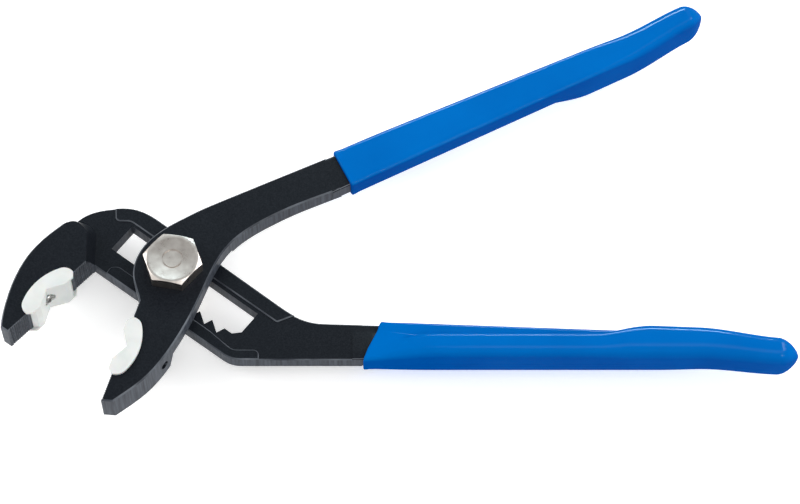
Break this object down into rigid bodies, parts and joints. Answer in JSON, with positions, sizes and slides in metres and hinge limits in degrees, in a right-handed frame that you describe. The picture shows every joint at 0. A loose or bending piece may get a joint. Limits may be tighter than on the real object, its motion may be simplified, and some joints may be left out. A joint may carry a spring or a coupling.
{
  "type": "water pump pliers",
  "caption": "Lap-joint adjustable pliers with a toothed slot, plastic protective jaw pads and dipped plastic handles.",
  "frame": {"origin": "on the pivot bolt's axis, at the bolt's end face, which lies on the surface under the tool", "axes": "+Z along the pivot bolt towards its head, +X along the lower handle towards its end"},
  "size_m": [0.2469, 0.1432, 0.0225],
  "materials": {
    "black_steel": "satin",
    "nickel_steel": "satin",
    "blue_grip": "gloss",
    "white_pad": "satin"
  },
  "bodies": {
    "slotted": {"slotted_lever": "black_steel", "slotted_jaw_pad": "white_pad", "slotted_pad_screw": "nickel_steel", "slotted_grip": "blue_grip"},
    "pivot": {"pivot_bolt": "nickel_steel", "pivot_nut": "nickel_steel"},
    "front": {"front_lever": "black_steel", "front_jaw_pad": "white_pad", "front_pad_screw": "nickel_steel", "front_grip": "blue_grip"}
  },
  "joints": [
    {"name": "slot_slide", "type": "slide", "parent": "slotted", "child": "pivot", "axis": [0.7934, -0.6088, 0], "range_m": [-0.0147, 0.0147]},
    {"name": "pivot_hinge", "type": "hinge", "parent": "pivot", "child": "front", "pos_m": [0, 0, 0.012], "axis": [0, 0, 1], "range_deg": [-20, 20]}
  ]
}
